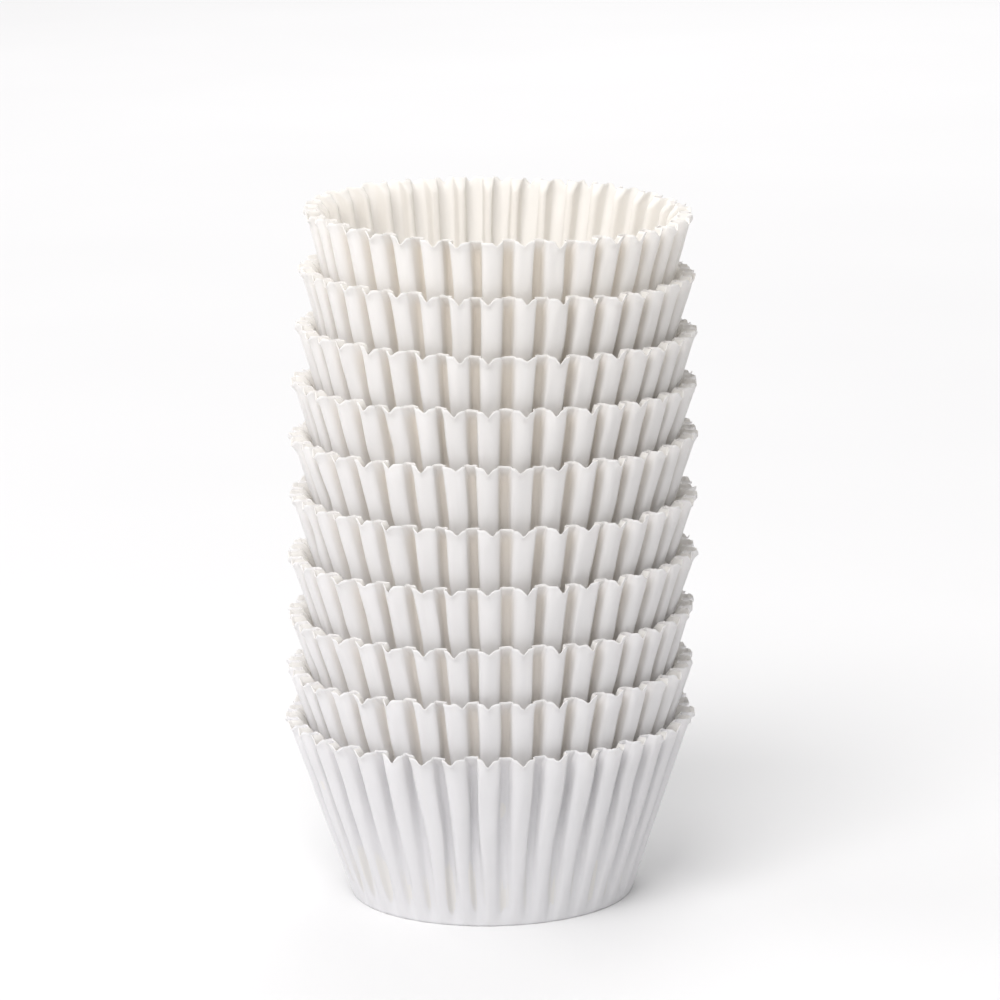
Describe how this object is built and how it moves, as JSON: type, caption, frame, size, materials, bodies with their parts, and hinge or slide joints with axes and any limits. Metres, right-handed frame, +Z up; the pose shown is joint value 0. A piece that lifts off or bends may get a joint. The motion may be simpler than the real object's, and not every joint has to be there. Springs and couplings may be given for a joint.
{
  "type": "stack of cupcake liners",
  "caption": "Nested stack of fluted white paper cupcake liners, each with a flat round base and a pleated wall that flares to a wavy, slightly turned-out rim",
  "frame": {"origin": "centre of the bottom liner's underside, on the surface that the stack stands on", "axes": "+Z up through the stack, -Y towards the viewer of the picture, +X to the viewer's right"},
  "size_m": [0.0729, 0.0718, 0.1238],
  "materials": {
    "paper": "matte uncoated greaseproof paper"
  },
  "bodies": {
    "root": {"liner_01": "paper", "liner_02": "paper", "liner_03": "paper", "liner_04": "paper", "liner_05": "paper", "liner_06": "paper", "liner_07": "paper", "liner_08": "paper", "liner_09": "paper", "liner_10": "paper"}
  },
  "joints": []
}
